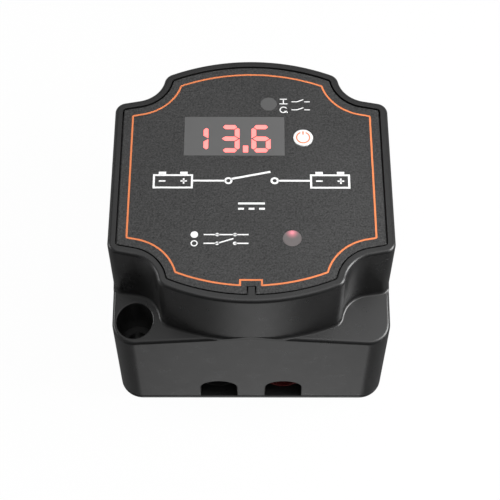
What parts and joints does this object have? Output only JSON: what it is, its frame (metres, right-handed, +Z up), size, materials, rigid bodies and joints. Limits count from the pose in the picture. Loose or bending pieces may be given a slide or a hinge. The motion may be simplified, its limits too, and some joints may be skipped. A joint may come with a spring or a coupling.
{
  "type": "battery isolator relay",
  "caption": "Compact moulded battery isolator relay with a digital display, a power button, sloping screw lugs and two cable notches.",
  "frame": {"origin": "middle of the underside of the base plate", "axes": "+Z up out of the label face, the cable notches face -Y, +X is the right-hand side seen from the notches"},
  "size_m": [0.068, 0.0704, 0.052],
  "materials": {
    "charcoal_plastic": "fine matte",
    "label_film": "fine sand grain",
    "grey_window": "smooth, smoke grey",
    "clear_lens": "smooth, clear",
    "white_button": "glossy",
    "black_moulding": "satin",
    "grey_nylon": "satin",
    "green_board": "satin solder mask",
    "zinc_screw": "zinc plated",
    "display_face": "smooth",
    "clear_lamp": "clear resin",
    "red_lamp": "tinted resin",
    "capacitor_can": "bright",
    "beige_moulding": "matte, glass filled",
    "copper": "bright copper",
    "tinned_steel": "tin plated",
    "red_rubber": "matte",
    "black_rubber": "matte",
    "brass_strip": "bright brass",
    "silver_tip": "silver alloy",
    "spring_wire": "bright wire",
    "ivory_moulding": "smooth",
    "soft_iron": "nickel plated",
    "enamelled_wire": "enamelled"
  },
  "bodies": {
    "case": {"housing": "charcoal_plastic", "base_plate": "charcoal_plastic", "base_plate_screws": "zinc_screw", "label_overlay": "label_film", "display_window": "grey_window", "mode_led_window": "clear_lens", "status_led_window": "clear_lens", "button_switch": "black_moulding", "circuit_board": "green_board", "board_screws": "zinc_screw", "display_module": "display_face", "mode_led": "clear_lamp", "status_led": "red_lamp", "controller_chip": "black_moulding", "driver_transistor": "black_moulding", "flyback_diode": "black_moulding", "supply_capacitor": "capacitor_can", "terminal_carrier": "beige_moulding", "carrier_screws": "zinc_screw", "input_stud": "copper", "output_stud": "copper", "flat_washers": "tinned_steel", "spring_washers": "tinned_steel", "stud_nuts": "tinned_steel", "input_boot": "red_rubber", "output_boot": "black_rubber", "sense_strips": "brass_strip", "fixed_contact_tips": "silver_tip", "return_spring": "spring_wire", "fixed_core": "soft_iron", "relay_frame": "soft_iron", "frame_top_plate": "soft_iron", "frame_screws": "zinc_screw", "coil_bobbin": "ivory_moulding", "coil_winding": "enamelled_wire", "coil_pins": "tinned_steel"},
    "button": {"power_button": "white_button"},
    "switch_stem": {"switch_plunger": "grey_nylon"},
    "armature": {"plunger": "soft_iron", "pushrod": "ivory_moulding", "pushrod_clip": "spring_wire", "contact_spring": "spring_wire"},
    "bridge": {"contact_bridge": "copper", "moving_contact_tips": "silver_tip"}
  },
  "joints": [
    {"name": "button_press", "type": "slide", "parent": "case", "child": "button", "axis": [0, 0, -1], "range_m": [0, 0.0004], "stiffness_N_per_m": 4000},
    {"name": "switch_press", "type": "slide", "parent": "case", "child": "switch_stem", "axis": [0, 0, -1], "range_m": [0, 0.0004]},
    {"name": "armature_pull", "type": "slide", "parent": "case", "child": "armature", "axis": [0, 0, -1], "range_m": [0, 0.00188], "stiffness_N_per_m": 1500, "springref_m": -0.0005, "deforming": ["return_spring"]},
    {"name": "contact_overtravel", "type": "slide", "parent": "armature", "child": "bridge", "axis": [0, 0, 1], "range_m": [0, 0.0004], "deforming": ["contact_spring"]}
  ],
  "couplings": [
    {"joint": "switch_press", "follows": "button_press", "ratio": 1},
    {"joint": "contact_overtravel", "follows": "armature_pull", "ratio": 0.2127}
  ]
}
